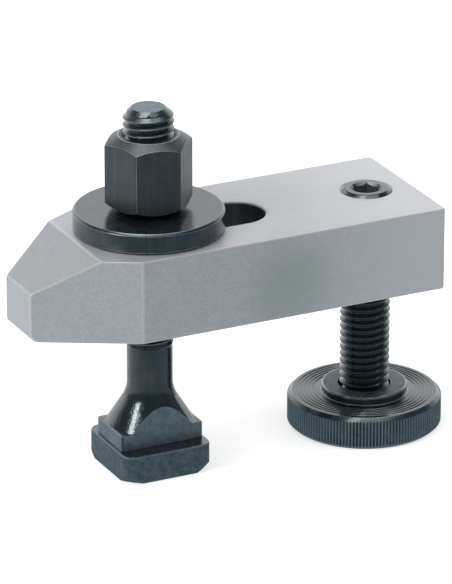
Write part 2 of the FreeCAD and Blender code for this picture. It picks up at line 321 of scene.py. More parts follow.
def piece(
    shape: Shape, name: str, finishes: Sequence[Finish], body: str, slot: str, *nodes: str
) -> bpy.types.Object:
    """Finishes a shape as a piece of the clamp that rides on a body of the frame.

    Args:
        shape: The closed shape, in the frame's axes; it is used up.
        name: The piece's name.
        finishes: The finish of each of its faces' material indices.
        body: The body that it rides on.
        slot: The name of a material slot; it is not used.
        nodes: The frame's nodes that it stands for.

    Returns:
        The finished object, at the origin.
    """
    mesh = mesh_of(shape, name)
    mesh.shade_smooth()
    mesh.set_sharp_from_angle(angle=CREASE_ANGLE)
    for finish in finishes:
        mesh.materials.append(finish.material())
    made = placed(name, mesh)
    weighted = made.modifiers.new("flat_faces", "WEIGHTED_NORMAL")
    weighted.keep_sharp = True
    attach(made, body)
    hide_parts(*nodes)
    return made


@dataclass(frozen=True)
class ScrewThread:
    """A right-hand metric thread with rolled, slightly rounded crests."""

    centre: Vector
    crest: float
    pitch: float = 1.75 * MM
    depth: float = 1.0 * MM
    steps: int = 56
    form: tuple[tuple[float, float], ...] = (
        (0.0, 0.0), (0.06, 0.03), (0.12, 0.15), (0.395, 0.90), (0.44, 0.98), (0.5, 1.0),
    )

    def outline(self) -> list[tuple[float, float]]:
        """Gives one pitch of the thread, root to root, as (share of pitch, share of depth)."""
        falling = [(1 - along, height) for along, height in reversed(self.form[:-1])]
        return list(self.form) + falling

    def helix(self, low: float, high: float, grow: float = 0.0) -> Shape:
        """Winds the thread's surface and closes it at two levels.

        Args:
            low: The lower level.
            high: The upper level.
            grow: How far the whole surface stands out, for a cutter of an inner thread.

        Returns:
            A closed threaded rod.
        """
        first = (math.floor(low / self.pitch) - 1) * self.pitch
        turns = math.ceil((high - first) / self.pitch) + 1
        root = self.crest - self.depth + grow
        shape = bmesh.new()
        verts = [
            shape.verts.new((
                self.centre.x + root + self.depth * height, self.centre.y,
                first + self.pitch * along,
            ))
            for along, height in self.outline()
        ]
        for start, end in zip(verts, verts[1:]):
            shape.edges.new((start, end))
        bmesh.ops.spin(
            shape, geom=shape.verts[:] + shape.edges[:], cent=self.centre, axis=(0, 0, 1),
            dvec=(0, 0, self.pitch / self.steps), angle=2 * math.pi, steps=self.steps,
        )

        def lift(verts: list[Vert], place: int) -> None:
            bmesh.ops.translate(shape, verts=verts, vec=(0, 0, self.pitch * place))

        repeated(shape, turns, lift)
        sliced(shape, Vector((0, 0, low)), Vector((0, 0, -1)))
        sliced(shape, Vector((0, 0, high)), Vector((0, 0, 1)))
        bmesh.ops.recalc_face_normals(shape, faces=shape.faces)
        return shape

    def turned_down(self, shape: Shape, allowed: Callable[[float], float]) -> None:
        """Turns a rod down where it stands out past the radius allowed at a height."""
        for vert in shape.verts:
            limit = allowed(vert.co.z)
            if reach(vert.co, self.centre) > limit:
                draw_to(vert, self.centre, limit)


# Finishes: procedural materials


class Channel:
    """One output of a shader node, which takes part in Python expressions."""

    def __init__(self, graph: "Graph", socket: bpy.types.NodeSocket) -> None:
        """Wraps a socket of a graph."""
        self.graph = graph
        self.socket = socket

    def math(self, operation: str, *values: "Channel | float") -> "Channel":
        """Adds a Math node on these values."""
        settings = {"operation": operation}
        return self.graph.node("ShaderNodeMath", settings, dict(enumerate(values)))

    def __add__(self, other: "Channel | float") -> "Channel":
        """Adds."""
        return self.math("ADD", self, other)

    __radd__ = __add__

    def __sub__(self, other: "Channel | float") -> "Channel":
        """Subtracts."""
        return self.math("SUBTRACT", self, other)

    def __rsub__(self, other: "Channel | float") -> "Channel":
        """Subtracts this from a number."""
        return self.math("SUBTRACT", other, self)

    def __mul__(self, other: "Channel | float") -> "Channel":
        """Multiplies."""
        return self.math("MULTIPLY", self, other)

    __rmul__ = __mul__

    def above(self, level: float, softness: float) -> "Channel":
        """Gives 0 below a level and 1 above it, with a soft step between."""
        settings = {"interpolation_type": "SMOOTHSTEP"}
        limits = {"Value": self, "From Min": level - softness, "From Max": level + softness}
        return self.graph.node("ShaderNodeMapRange", settings, limits)


class Graph:
    """A tree of shader nodes."""

    def __init__(self, tree: bpy.types.NodeTree) -> None:
        """Wraps the tree of a material or of the surround."""
        self.tree = tree

    def connect(self, socket: bpy.types.NodeSocket, value: "Channel | float | Sequence") -> None:
        """Links a channel to a socket, or sets the socket to a value."""
        if isinstance(value, Channel):
            self.tree.links.new(value.socket, socket)
        else:
            socket.default_value = value

    def node(
        self, kind: str, settings: Mapping[str, object],
        values: Mapping[int | str, "Channel | float | Sequence"], output: int | str = 0,
    ) -> Channel:
        """Adds a node.

        Args:
            kind: The node's type.
            settings: Its own settings.
            values: The value or channel of each socket that isn't left alone.
            output: The output that is given back.

        Returns:
            The output as a channel.
        """
        made = self.tree.nodes.new(kind)
        for key, setting in settings.items():
            setattr(made, key, setting)
        for key, value in values.items():
            self.connect(made.inputs[key], value)
        return Channel(self, made.outputs[output])

    def place(
        self, centre: Sequence[float] = (0, 0, 0), stretch: Sequence[float] = (1, 1, 1)
    ) -> Channel:
        """Gives the place on the piece in metres, from a centre, stretched along the axes."""
        here = self.node("ShaderNodeTexCoord", {}, {}, "Object")
        shift = [-c * s for c, s in zip(centre, stretch)]
        return self.node("ShaderNodeMapping", {}, {0: here, "Location": shift, "Scale": stretch})

    def attribute(self, name: str) -> Channel:
        """Reads a number that the mesh carries on its faces."""
        return self.node("ShaderNodeAttribute", {"attribute_name": name}, {}, "Fac")

    def along(self, where: Channel, axis: str) -> Channel:
        """Gives one coordinate of a place."""
        return self.node("ShaderNodeSeparateXYZ", {}, {0: where}, axis)

    def length(self, where: Channel) -> Channel:
        """Gives the distance of a place from its centre."""
        return self.node("ShaderNodeVectorMath", {"operation": "LENGTH"}, {0: where}, "Value")

    def outside(self, where: Channel, length: float, width: float) -> Channel:
        """Gives 1 outside an upright prism round the middle and 0 inside it."""
        sides = []
        for axis, size in (("X", length), ("Y", width)):
            along = self.along(where, axis)
            sides.append(along.math("ABSOLUTE", along).above(size / 2, 0.03 * MM))
        return sides[0].math("MAXIMUM", *sides)

    def noise(self, where: Channel, grain: float, detail: float = 2.0) -> Channel:
        """Gives noise about 0.5 whose grain is a length in metres."""
        values = {"Vector": where, "Scale": 1 / grain, "Detail": detail}
        return self.node("ShaderNodeTexNoise", {}, values, "Fac")

    def rings(self, centre: Sequence[float], grain: float) -> Channel:
        """Gives noise that runs in rings round an upright axis, as a lathe tool leaves it."""
        radius = self.length(self.place(centre, (1, 1, 0)))
        values = {"W": radius, "Scale": 1 / grain, "Detail": 3.0, "Roughness": 0.7}
        return self.node("ShaderNodeTexNoise", {"noise_dimensions": "1D"}, values, "Fac")

    def tint(
        self, share: "Channel | float", first: "Channel | Colour", second: "Channel | Colour"
    ) -> Channel:
        """Mixes two colours by a share."""
        ends = [end if isinstance(end, Channel) else (*end, 1) for end in (first, second)]
        values = {"Factor": share, 6: ends[0], 7: ends[1]}
        return self.node("ShaderNodeMix", {"data_type": "RGBA"}, values, 2)

    def bump(self, height: Channel, depth: float, under: Channel | None = None) -> Channel:
        """Raises the surface by up to a depth in metres, over another bump if one is given."""
        values = {"Strength": 1.0, "Distance": depth, "Height": height}
        if under:
            values["Normal"] = under
        return self.node("ShaderNodeBump", {}, values)

    def toward(self, where: Channel, direction: float, level: float, soft: float) -> Channel:
        """Gives 1 beyond a level in a direction, in degrees from +X, and 0 before it."""
        turn = math.radians(direction)
        values = {0: where, 1: (math.cos(turn), math.sin(turn), 0)}
        along = self.node("ShaderNodeVectorMath", {"operation": "DOT_PRODUCT"}, values, "Value")
        return along.above(level, soft)

    def directly(self) -> Channel:
        """Gives 1 for camera rays and 0 for all others."""
        return self.node("ShaderNodeLightPath", {}, {}, "Is Camera Ray")

    def mirrored(self) -> Channel:
        """Gives 1 for glossy and transmission rays and 0 for all others."""
        glossy = self.node("ShaderNodeLightPath", {}, {}, "Is Glossy Ray")
        through = self.node("ShaderNodeLightPath", {}, {}, "Is Transmission Ray")
        return glossy.math("MAXIMUM", glossy, through)


class Surface(Graph):
    """The node tree of a material, with its one surface shader."""

    def __init__(self, name: str) -> None:
        """Starts a material."""
        self.material = bpy.data.materials.new(name)
        self.material.use_nodes = True
        super().__init__(self.material.node_tree)

    def finish(self, **values: "Channel | float") -> bpy.types.Material:
        """Sets the shader's sockets, named with _ for a space, and gives the material."""
        inputs = self.tree.nodes["Principled BSDF"].inputs
        for name, value in values.items():
            self.connect(inputs[name.replace("_", " ")], value)
        return self.material


class Marks(Enum):
    """What the making of a blackened piece has left on its surface."""

    FORGED = "forged"
    TURNED = "turned"
    ROLLED = "rolled"


@dataclass(frozen=True)
class BlackOxide:
    """Glossy black oxide on steel."""

    name: str
    marks: Marks
    centre: tuple[float, float, float] = (0.0, 0.0, 0.0)
    dark: Colour = (0.018, 0.034, 0.041)
    light: Colour = (0.062, 0.084, 0.094)
    scale_dark: Colour = (0.064, 0.096, 0.118)
    scale_light: Colour = (0.240, 0.295, 0.335)
    # Colour of the marked faces: scuffed bright steel and a painted highlight.
    worn_and_highlight: Colour = (0.30, 0.34, 0.37)
    blotch: Colour = (0.115, 0.105, 0.075)
    blotch_place: tuple[float, float, float] = (-2.6 * MM, -4.7 * MM, 23.5 * MM)
    roughness: float = 0.26
    oil: float = 1.0
    oil_roughness: float = 0.12
    metallic: float = 0.82
    flat_length: float = 20.7 * MM
    flat_width: float = 13.62 * MM
    ledge: float = 7.0 * MM

    def relief(self, graph: Surface, here: Channel, under: Channel) -> Channel:
        """Raises the marks of the piece's making over its grain."""
        if self.marks is Marks.FORGED:
            dents = graph.noise(here, 2.4 * MM) * 0.6 + graph.noise(here, 0.6 * MM) * 0.4
            return graph.bump(dents, 0.20 * MM, under)
        if self.marks is Marks.TURNED:
            return graph.bump(graph.rings(self.centre, 0.22 * MM), 0.010 * MM, under)
        streaks = graph.noise(graph.place(self.centre, (1, 1, 0.15)), 0.5 * MM)
        return graph.bump(streaks, 0.008 * MM, under)

    def forged_scale(
        self, graph: Surface, here: Channel, matt: Channel, grain: Channel
    ) -> tuple[Channel, Channel]:
        """Gives the matt faces with a forging's flats, and the patches of their scale."""
        height = graph.along(here, "Z") - self.ledge
        flats = height.math("ABSOLUTE", height).above(0.10 * MM, 0.04 * MM)
        flats = flats * graph.outside(here, self.flat_length, self.flat_width)
        coarse = graph.noise(here, 1.6 * MM, 4.0).above(0.5, 0.14)
        patches = coarse * 0.3 + grain * 0.3 + height.above(0.0, 0.5 * MM) * 0.5
        return matt.math("MAXIMUM", matt, flats), patches

    def material(self) -> bpy.types.Material:
        """Makes the finish with the marks of the piece's making."""
        graph = Surface(self.name)
        here = graph.place(self.centre)
        cloud = graph.noise(here, 3.5 * MM, 3.0).above(0.5, 0.25)
        grain = graph.noise(here, 0.35 * MM, 3.0).above(0.5, 0.25)
        scale, patches = graph.attribute(MATT), cloud * 0.5 + grain * 0.5
        if self.marks is Marks.FORGED:
            scale, patches = self.forged_scale(graph, here, scale, grain)
        strokes = graph.noise(graph.place(self.centre, (1, 1, 0.05)), 0.9 * MM).above(0.5, 0.2)
        mottle = cloud * 0.35 + grain * 0.35 + strokes * 0.30
        colour = graph.tint(mottle, self.dark, self.light)
        # A brownish discoloured patch round a point on the bolt's shank.
        from_blotch = graph.length(graph.place(self.blotch_place))
        blotched = 1.0 - from_blotch.above(1.6 * MM, 1.4 * MM)
        colour = graph.tint(blotched * 0.7, colour, self.blotch)
        colour = graph.tint(scale, colour, graph.tint(patches, self.scale_dark, self.scale_light))
        # The marked faces are painted lighter: scuffed steel and a painted highlight.
        rubbed_and_highlight = graph.attribute(WEAR_AND_HIGHLIGHT) * (grain * 0.6 + 0.4)
        return graph.finish(
            Base_Color=graph.tint(rubbed_and_highlight, colour, self.worn_and_highlight),
            Roughness=cloud * 0.10 + grain * 0.08 + (self.roughness - 0.09) + scale * 0.26,
            Normal=self.relief(graph, here, graph.bump(grain, 0.003 * MM)),
            Metallic=self.metallic, Coat_Weight=self.oil - scale * 0.85,
            Coat_Roughness=self.oil_roughness,
        )


@dataclass(frozen=True)
class PaleSteel:
    """Satin, slightly blue-grey steel of the bar."""

    name: str
    shade: float = 1.0
    dark: Colour = (0.500, 0.520, 0.550)
    light: Colour = (0.740, 0.755, 0.785)
    green: Colour = (0.545, 0.595, 0.575)
    lilac: Colour = (0.590, 0.580, 0.650)
    palest: Colour = (0.820, 0.830, 0.850)
    worn_and_highlight: Colour = (0.800, 0.810, 0.830)
    blotch: Colour = (0.360, 0.440, 0.390)
    blotch_place: tuple[float, float, float] = (27.0 * MM, -19.0 * MM, 46.5 * MM)
    roughness: float = 0.42
    metallic: float = 0.5

    def material(self) -> bpy.types.Material:
        """Makes the finish."""
        graph = Surface(self.name)
        here = graph.place()
        cloud = graph.noise(here, 9.0 * MM)
        drift = graph.noise(graph.place((0.1, 0.2, 0.3)), 17.0 * MM)
        grain = graph.noise(here, 0.55 * MM, 3.0).above(0.5, 0.16)
        lines = graph.noise(graph.place(stretch=(0.2, 1, 1)), 0.6 * MM).above(0.5, 0.3)
        steel = graph.tint(cloud * 0.25 + grain * 0.45 + lines * 0.3, self.dark, self.light)
        temper = graph.tint(drift.above(0.5, 0.10), self.green, self.lilac)
        colour = graph.tint(0.35, steel, temper)
        # A darker greenish blotch on the bar near its front side.
        from_blotch = graph.length(graph.place(self.blotch_place))
        blotched = 1.0 - from_blotch.above(9.0 * MM, 6.0 * MM)
        colour = graph.tint(blotched * (cloud * 0.4 + 0.38), colour, self.blotch)
        rear = graph.along(here, "X").above(44.0 * MM, 26.0 * MM)
        colour = graph.tint(rear * 0.7, colour, self.palest)
        colour = graph.tint(1.0 - self.shade, colour, (0.0, 0.0, 0.0))
        # The marked edge breaks are painted lighter: scuffed steel and a painted highlight line.
        return graph.finish(
            Base_Color=graph.tint(graph.attribute(WEAR_AND_HIGHLIGHT) * 0.4, colour, self.worn_and_highlight),
            Roughness=cloud * 0.08 + grain * 0.08 + (self.roughness - 0.08),
            Normal=graph.bump(lines, 0.012 * MM, graph.bump(grain, 0.012 * MM)),
            Metallic=self.metallic,
        )


@dataclass(frozen=True)
class BareSteel:
    """Bare metal with one grain, as a cutter or a drawing die leaves it."""

    name: str
    dark: Colour
    light: Colour
    grain: float
    relief: float
    smoothest: float
    roughness_spread: float
    stretch: tuple[float, float, float] = (1, 1, 1)
    detail: float = 2.0

    def material(self) -> bpy.types.Material:
        """Makes the finish."""
        graph = Surface(self.name)
        grain = graph.noise(graph.place(stretch=self.stretch), self.grain, self.detail)
        return graph.finish(
            Base_Color=graph.tint(grain, self.dark, self.light),
            Roughness=grain * self.roughness_spread + self.smoothest,
            Normal=graph.bump(grain, self.relief), Metallic=1.0,
        )


# Sub-assemblies


@dataclass
class ClampBar:
    """Tapered bar with its ramp, its slot and the tapped hole of the support screw."""

    finish: PaleSteel
    ramp_finish: PaleSteel
    flank_finish: PaleSteel
    slot_finish: BareSteel
    hole_thread: ScrewThread
    nose_width: float = 13.5 * MM
    nose_thickness: float = 11.7 * MM
    nose_rounding: float = 1.8 * MM
    ramp_rounding: float = 0.8 * MM
    taper_angle: float = 28.5
    ramp_angle: float = 30.0
    rear_rounding: float = 0.9 * MM
    edge_break: float = 0.4 * MM
    edge_angle: float = 28.0
    slot_width: float = 14.0 * MM
    slot_start: float = -10.0 * MM
    slot_end: float = 29.0 * MM
    slot_break: float = 0.5 * MM
    slot_margin: float = 0.1 * MM
    hole_break: float = 0.35 * MM
    thread_clearance: float = 0.05 * MM
    low: Vector = field(init=False)
    high: Vector = field(init=False)

    def __post_init__(self) -> None:
        """Reads the bar's corners from the frame."""
        self.low, self.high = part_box("clamp_bar")

    def blank(self) -> Shape:
        """Cuts the tapered nose and the ramp from a block and breaks its edges."""
        shape = block(self.low, self.high)
        taper, ramp = math.radians(self.taper_angle), math.radians(self.ramp_angle)
        for side in (-1, 1):
            corner = Vector((self.low.x, side * self.nose_width / 2, 0))
            sliced(shape, corner, Vector((-math.sin(taper), side * math.cos(taper), 0)))
        foot = Vector((self.low.x, 0, self.low.z + self.nose_thickness))
        sliced(shape, foot, Vector((-math.sin(ramp), 0, math.cos(ramp))))

        def on_nose(edge: Edge) -> bool:
            return not is_upright(edge) and middle(edge).x < self.low.x + TOUCH

        halfway = self.low.z + self.nose_thickness / 2
        softened(shape, self.nose_rounding, 6, lambda e: on_nose(e) and middle(e).z < halfway)
        softened(shape, self.ramp_rounding, 4, lambda e: on_nose(e) and middle(e).z > halfway)
        rear, least = self.high.x - TOUCH, math.radians(self.edge_angle)
        softened(shape, self.rear_rounding, 4, lambda e: is_upright(e) and middle(e).x > rear)
        softened(shape, self.edge_break, 2, lambda e: e.calc_face_angle(0.0) > least)
        return shape

    def slot_cutter(self) -> Shape:
        """Makes the cutter of the slot: the hull of a round bar at each of its ends."""
        shape = bmesh.new()
        radius = self.slot_width / 2
        depth = self.high.z - self.low.z + 2 * OVERLAP
        for x in (self.slot_start + radius, self.slot_end - radius):
            bmesh.ops.create_cone(
                shape, cap_ends=True, segments=ROUND_SIDES, radius1=radius, radius2=radius,
                depth=depth, matrix=Matrix.Translation((x, 0, (self.low.z + self.high.z) / 2)),
            )
        hull = bmesh.ops.convex_hull(shape, input=shape.verts)
        inner = [g for g in hull["geom_interior"] + hull["geom_unused"] if g.is_valid]
        bmesh.ops.delete(shape, geom=list(dict.fromkeys(inner)), context="VERTS")
        bmesh.ops.dissolve_limit(
            shape, angle_limit=math.radians(1), verts=shape.verts, edges=shape.edges
        )
        bmesh.ops.recalc_face_normals(shape, faces=shape.faces)
        return shape

    def on_slot(self, point: Vector, margin: float) -> bool:
        """Tells whether a point lies inside the slot's outline, widened by a margin."""
        radius = self.slot_width / 2
        first, last = self.slot_start + radius, self.slot_end - radius
        nearest = min(max(point.x, first), last)
        return math.hypot(point.x - nearest, point.y) < radius + margin

    def hole_cutters(self) -> list[Shape]:
        """Makes the threaded cutter of the tapped hole and the cones that open its mouths."""
        thread = self.hole_thread
        rod = thread.helix(self.low.z - OVERLAP, self.high.z + OVERLAP, self.thread_clearance)
        wide = thread.crest + self.thread_clearance + self.hole_break
        cones = []
        for level, way in ((self.low.z, -1), (self.high.z, 1)):
            beyond = level + way * OVERLAP
            outline = [(0, level - way * wide), (wide + OVERLAP, beyond), (0, beyond)]
            cones.append(turned(outline, thread.centre, ROUND_SIDES))
        return [rod, *cones]

    def finish_of(self, face: Face) -> int:
        """Tells plain faces (0), the ramp (1), the nose's flanks (2) and the slot's wall (3)."""
        little, part, most = 0.1, 0.3, 0.7
        ahead, aside, up = -face.normal.x, abs(face.normal.y), face.normal.z
        if abs(up) < little and self.on_slot(face.calc_center_median(), self.slot_margin):
            return 3
        if ahead > part and up > most:
            return 1
        return 2 if ahead > part and aside > most else 0

    def build(self) -> bpy.types.Object:
        """Builds the bar."""
        shape = combined(self.blank(), self.slot_cutter(), Cut.AWAY)
        levels = (self.low.z, self.high.z)

        def on_rim(edge: Edge) -> bool:
            at = middle(edge)
            level = min(abs(at.z - z) for z in levels) < TOUCH
            return level and self.on_slot(at, HAIR)

        softened(shape, self.slot_break, 2, on_rim)
        for cutter in self.hole_cutters():
            shape = combined(shape, cutter, Cut.AWAY)
        for face in shape.faces:
            face.material_index = self.finish_of(face)
        finishes = (self.finish, self.ramp_finish, self.flank_finish, self.slot_finish)
        return piece(shape, "bar", finishes, "bar", "bar_steel", "clamp_bar")


@dataclass
class TSlotBolt:
    """Forged bolt whose head and neck ride in the T-slot, with its rolled thread."""

    finish: BlackOxide
    thread: ScrewThread
    head_side: float = 22.0 * MM
    head_thickness: float = 7.0 * MM
    head_corner: float = 2.7 * MM
    head_lower_break: float = 0.6 * MM
    head_chamfer: float = 12.8 * MM
    head_chamfer_angle: float = 50.0
    head_upper_break: float = 0.35 * MM
    neck_upper_break: float = 0.3 * MM
    neck_length: float = 20.8 * MM
    neck_width: float = 13.7 * MM
    neck_top: float = 11.0 * MM
    neck_corner: float = 0.8 * MM
    flare_radius: float = 10.2 * MM
    flare_height: float = 7.8 * MM
    flare_blend: float = 2.0 * MM
    arch_break: float = 0.35 * MM
    arch_start: float = 0.2 * MM
    shank_radius: float = 5.35 * MM
    thread_low: float = 30.2 * MM
    thread_inset: float = 0.03 * MM
    crest_glint_depth: float = 0.04 * MM
    run_out: float = 1.1 * MM
    lead_in: float = 1.7 * MM
    end_radius: float = 3.9 * MM

    @staticmethod
    def rounded_bar(length: float, width: float, low: float, high: float, corner: float) -> Shape:
        """Makes a block on the bolt's axis with its four upright edges rounded."""
        far = Vector((length / 2, width / 2, high))
        shape = block(Vector((-far.x, -far.y, low)), far)
        softened(shape, corner, 5, is_upright)
        return shape

    def head(self) -> Shape:
        """Makes the square head, whose lower corners a turned chamfer cuts."""
        side, top = self.head_side, self.head_thickness
        shape = self.rounded_bar(side, side, 0, top, self.head_corner)
        high = self.head_chamfer + top / math.tan(math.radians(self.head_chamfer_angle))
        shape = combined(shape, turned([
            (0, 0), (self.head_chamfer, 0), (high, top), (0, top),
        ], self.thread.centre, ROUND_SIDES), Cut.SHARED)
        softened(shape, self.head_lower_break, 3, lambda e: middle(e).z < TOUCH)
        softened(shape, self.head_upper_break, 2, lambda e: middle(e).z > top - TOUCH)
        return shape

    def neck(self) -> Shape:
        """Makes the neck that fits between the T-slot's lips."""
        inside = self.head_thickness - OVERLAP
        shape = self.rounded_bar(
            self.neck_length, self.neck_width, inside, self.neck_top, self.neck_corner
        )
        softened(shape, self.neck_upper_break, 2, lambda e: middle(e).z > self.neck_top - TOUCH)
        return shape

    def flare(self) -> Shape:
        """Makes the shank's flare, cut flush with the neck's four sides."""
        inside = self.neck_top - 2 * OVERLAP
        shank_top = self.thread_low - OVERLAP
        shape = turned([
            (0, inside), (self.flare_radius, inside),
            (self.flare_radius, self.neck_top),
            (self.shank_radius, self.neck_top + self.flare_height, self.flare_blend),
            (self.shank_radius, shank_top), (0, shank_top),
        ], self.thread.centre, ROUND_SIDES)
        sides = self.rounded_bar(
            self.neck_length, self.neck_width, inside - OVERLAP, shank_top + OVERLAP,
            self.neck_corner,
        )
        shape = combined(shape, sides, Cut.SHARED)
        low, top = self.neck_top + self.arch_start, self.neck_top + self.flare_height
        softened(shape, self.arch_break, 2, lambda e: low < middle(e).z < top)
        return shape

    def threaded_end(self) -> Shape:
        """Makes the thread, which runs out into the shank below and has a lead-in above."""
        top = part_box("t_slot_bolt")[1].z
        inside = self.shank_radius - self.thread_inset
        shape = self.thread.helix(self.thread_low - 2 * OVERLAP, top)
        slope = (self.thread.crest - self.end_radius) / self.lead_in
        self.thread.turned_down(shape, lambda z: self.end_radius + (top - z) * slope)
        for vert in shape.verts:
            share = min(max((vert.co.z - self.thread_low) / self.run_out, 0.0), 1.0)
            radius = reach(vert.co, self.thread.centre)
            if share < 1.0 and radius > OVERLAP:
                draw_to(vert, self.thread.centre, inside + (radius - inside) * share)
        # The thread's crests carry the mark: a painted glint along each crest.
        crest = self.thread.crest - self.crest_glint_depth
        marked(shape, lambda face: face.calc_center_median().xy.length > crest)
        marked(shape, lambda face: face.calc_center_median().z > top - HAIR, MATT)
        return shape

    def build(self) -> bpy.types.Object:
        """Builds the bolt."""
        shape = combined(self.head(), self.neck(), Cut.JOINED)
        shape = combined(shape, self.flare(), Cut.JOINED)
        shape = combined(shape, self.threaded_end(), Cut.JOINED)
        return piece(shape, "bolt", (self.finish,), "bolt", "blackened_steel", "t_slot_bolt")


@dataclass
class Washer:
    """Thick washer between the nut and the bar."""

    finish: BlackOxide
    bore: float = 6.5 * MM
    edge_break: float = 0.5 * MM
    softness: float = 0.10 * MM
    sides: int = 192

    def build(self) -> bpy.types.Object:
        """Builds the washer."""
        low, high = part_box("washer")
        outer, edge, soft = high.x, self.edge_break, self.softness
        shape = turned([
            (self.bore, low.z, soft), (outer - edge, low.z, soft),
            (outer, low.z + edge, soft), (outer, high.z - edge, soft),
            (outer - edge, high.z, soft), (self.bore, high.z, soft),
        ], Vector((0, 0, 0)), self.sides, closed=True)
        return piece(shape, "washer_plate", (self.finish,), "washer", "blackened_steel", "washer")


@dataclass
class DomedNut:
    """High hexagon nut with a domed underside and a chamfered crown."""

    finish: BlackOxide
    thread: ScrewThread
    across_flats: float = 18.0 * MM
    corner_direction: float = -10.4
    dome_radius: float = 17.0 * MM
    mouth_radius: float = 6.4 * MM
    crown_radius: float = 7.0 * MM
    crown_break: float = 0.15 * MM
    mouth_break: float = 0.08 * MM
    chamfer_angle: float = 30.0
    edge_break: float = 0.26 * MM
    edge_start: float = 0.5 * MM
    sides: int = 144
    thread_clearance: float = 0.05 * MM

    def envelope(self) -> Shape:
        """Makes the turned outline that the hexagon is cut to."""
        low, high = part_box("domed_nut")
        wide = self.across_flats / math.sqrt(3) + OVERLAP
        drop = (wide - self.crown_radius) * math.tan(math.radians(self.chamfer_angle))
        bore = self.thread.crest - self.thread.depth + self.thread_clearance
        mouth = self.mouth_radius
        seat = math.sqrt(self.dome_radius ** 2 - mouth ** 2)

        def dome(radius: float) -> float:
            return low.z + seat - math.sqrt(self.dome_radius ** 2 - radius ** 2)

        spread = [mouth + (wide - mouth) * share / 6 for share in range(7)]
        underside = [(radius, dome(radius)) for radius in spread]
        return turned([
            (bore, low.z + mouth - bore), *underside, (wide, high.z - drop),
            (self.crown_radius, high.z, self.crown_break), (mouth, high.z, self.mouth_break),
            (bore, high.z - mouth + bore),
        ], self.thread.centre, self.sides, closed=True)

    def build(self) -> bpy.types.Object:
        """Builds the nut."""
        low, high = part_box("domed_nut")
        start = Vector((0, 0, low.z - OVERLAP))
        hexagon = hexagon_bar(self.across_flats, self.corner_direction, start, high.z + OVERLAP)
        shape = combined(hexagon, self.envelope(), Cut.SHARED)
        outside = self.mouth_radius + self.edge_start
        # The broken edges carry the mark and are painted as bright highlight lines, partly
        # scuffed steel.
        softened(shape, self.edge_break, 2, lambda e: middle(e).xy.length > outside)
        thread = self.thread.helix(low.z - OVERLAP, high.z + OVERLAP, self.thread_clearance)
        shape = combined(shape, thread, Cut.AWAY)
        return piece(shape, "nut", (self.finish,), "nut", "blackened_steel", "domed_nut")


@dataclass
class SupportScrew:
    """Threaded post with a hexagon socket above and a plain pivot in the foot."""

    finish: BlackOxide
    socket_finish_and_light: BlackOxide
    thread: ScrewThread
    thread_low: float = 6.8 * MM
    lower_break: float = 1.0 * MM
    upper_break: float = 0.8 * MM
    pivot_radius: float = 4.0 * MM
    pivot_rounding: float = 1.0 * MM
    pivot_inside: float = 1.5 * MM
    pivot_sides: int = 64
    pivot_neck: float = 2.9 * MM
    neck_low: float = 3.65 * MM
    neck_high: float = 5.15 * MM
    key: float = 6.0 * MM
    key_depth: float = 6.0 * MM
    key_mouth: float = 3.65 * MM
    key_rim: float = 0.1 * MM
    drill_clearance: float = 0.05 * MM
    drill_angle: float = 59.0

    def post(self) -> Shape:
        """Makes the threaded post, broken at both ends."""
        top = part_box("support_screw")[1].z
        crest = self.thread.crest
        shape = self.thread.helix(self.thread_low, top)

        def allowed(height: float) -> float:
            upper = crest - self.upper_break + (top - height)
            lower = crest - self.lower_break + (height - self.thread_low)
            return min(crest, upper, lower)

        self.thread.turned_down(shape, allowed)
        return shape

    def pivot(self) -> Shape:
        """Makes the plain end with the neck that the snap ring holds."""
        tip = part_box("support_screw")[0].z
        inside = self.thread_low + self.pivot_inside
        return turned([
            (0, tip), (self.pivot_radius, tip, self.pivot_rounding),
            (self.pivot_radius, self.neck_low), (self.pivot_neck, self.neck_low),
            (self.pivot_neck, self.neck_high), (self.pivot_radius, self.neck_high),
            (self.pivot_radius, inside), (0, inside),
        ], self.thread.centre, self.pivot_sides)

    def socket_cutters(self) -> list[Shape]:
        """Makes the cutters of the hexagon socket, its drilled end and its mouth."""
        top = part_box("support_screw")[1].z
        centre = self.thread.centre
        floor = top - self.key_depth
        drill = self.key / 2 - self.drill_clearance
        hexagon = hexagon_bar(self.key, 0, Vector((centre.x, centre.y, floor)), top + OVERLAP)
        drilled = turned([
            (0, floor - drill / math.tan(math.radians(self.drill_angle))), (drill, floor),
            (drill, floor + drill), (0, floor + drill),
        ], centre, ROUND_SIDES // 2)
        mouth = turned([
            (0, top - self.key_mouth), (self.key_mouth + OVERLAP, top + OVERLAP),
            (0, top + OVERLAP),
        ], centre, ROUND_SIDES)
        return [hexagon, drilled, mouth]

    def build(self) -> bpy.types.Object:
        """Builds the screw."""
        shape = combined(self.post(), self.pivot(), Cut.JOINED)
        for cutter in self.socket_cutters():
            shape = combined(shape, cutter, Cut.AWAY)
        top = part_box("support_screw")[1].z
        inside = self.key / math.sqrt(3)
        # The socket's walls take the light grey socket finish: bare broached steel, and partly
        # painted light inside the socket.
        for face in shape.faces:
            at = face.calc_center_median()
            out = reach(at, self.thread.centre)
            if out < inside and top - 2 * self.key_depth < at.z < top - self.key_rim:
                face.material_index = 1
        finishes = (self.finish, self.socket_finish_and_light)
        return piece(shape, "screw", finishes, "screw", "blackened_steel", "support_screw")


